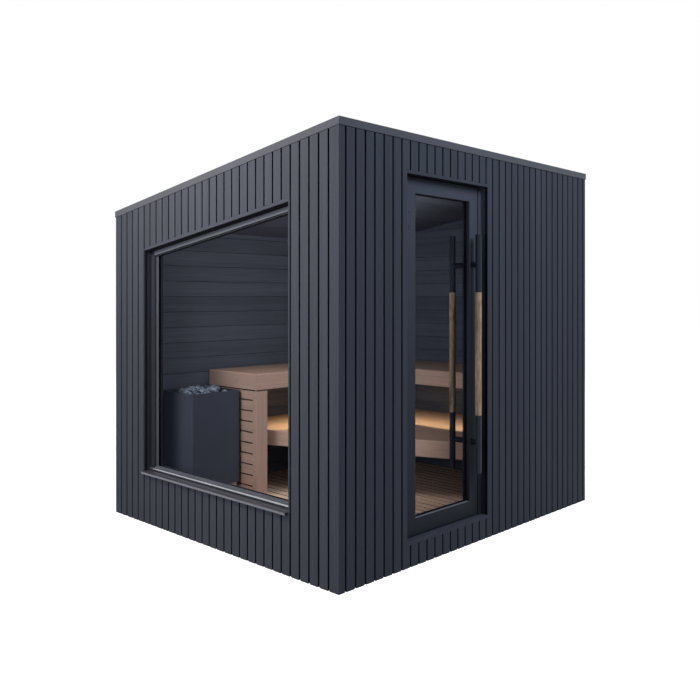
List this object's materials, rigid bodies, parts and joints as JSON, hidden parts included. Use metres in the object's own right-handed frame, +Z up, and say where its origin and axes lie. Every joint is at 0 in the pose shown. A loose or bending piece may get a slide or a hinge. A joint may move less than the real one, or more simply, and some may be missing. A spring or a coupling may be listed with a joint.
{
  "type": "outdoor sauna cabin",
  "caption": "Free-standing sauna cabin with upright slatted cladding, mono-pitch roof, large window, hinged glazed door, slatted floor, benches and stone heater.",
  "frame": {"origin": "centre of the rectangular footprint on the ground, under the middle floor bearer", "axes": "+Z up, +X along the door wall from the window wall, +Y from the door wall to the rear wall"},
  "size_m": [2.493, 2.1269, 2.3056],
  "materials": {
    "base_timber": "treated timber",
    "plywood": "sealed plywood",
    "deck_wood": "oiled slats",
    "wall_backing": "matt black membrane over insulated panels",
    "painted_boards": "blue-grey stained boards",
    "dark_lining": "dark grey stained boards",
    "roofing": "matt roofing sheet",
    "edge_metal": "satin blue-grey coated sheet",
    "painted_frame": "blue-grey painted joinery",
    "sill_metal": "coated bent sheet",
    "black_metal": "satin black",
    "grip_wood": "light oiled wood",
    "heater_metal": "satin dark grey powder coat",
    "bench_wood": "light smooth hardwood",
    "light_cover": "warm diffuser",
    "clear_glass": "clear toughened glass",
    "stone": "rough split stone"
  },
  "bodies": {
    "cabin": {"base_edge_beams": "base_timber", "bench_end_panel": "bench_wood", "bench_ledgers": "bench_wood", "bench_post": "bench_wood", "ceiling_lining": "dark_lining", "door_head": "painted_frame", "door_jambs": "painted_frame", "door_threshold": "painted_frame", "floor_bearers": "base_timber", "floor_panel": "plywood", "floor_slats": "deck_wood", "frame_hinges": "black_metal", "front_cladding": "painted_boards", "front_edge_flashing": "edge_metal", "front_wall_left": "wall_backing", "front_wall_lintel": "wall_backing", "front_wall_right": "wall_backing", "front_wall_sill": "wall_backing", "heater_casing": "heater_metal", "heater_legs": "heater_metal", "heater_stones": "stone", "left_edge_flashing": "edge_metal", "light_strips": "light_cover", "lower_bench": "bench_wood", "opening_trims": "painted_boards", "rear_cladding": "painted_boards", "rear_edge_flashing": "edge_metal", "rear_upper_bench": "bench_wood", "rear_wall": "wall_backing", "right_cladding": "painted_boards", "right_edge_flashing": "edge_metal", "right_wall": "wall_backing", "roof_panel": "wall_backing", "roof_skin": "roofing", "side_upper_bench": "bench_wood", "wall_lining": "dark_lining", "window_cladding": "painted_boards", "window_glass": "clear_glass", "window_jambs": "painted_frame", "window_rails": "painted_frame", "window_sill": "sill_metal", "window_wall_front": "wall_backing", "window_wall_lintel": "wall_backing", "window_wall_rear": "wall_backing", "window_wall_sill": "wall_backing"},
    "door": {"door_stiles": "painted_frame", "door_rails": "painted_frame", "door_glass": "clear_glass", "leaf_hinges": "black_metal", "handle_bars": "black_metal", "handle_standoffs": "black_metal", "handle_grips": "grip_wood"}
  },
  "joints": [
    {"name": "door_hinge", "type": "hinge", "parent": "cabin", "child": "door", "pos_m": [-0.683, -1.014, 1.114], "axis": [0, 0, -1], "range_deg": [0, 105]}
  ]
}
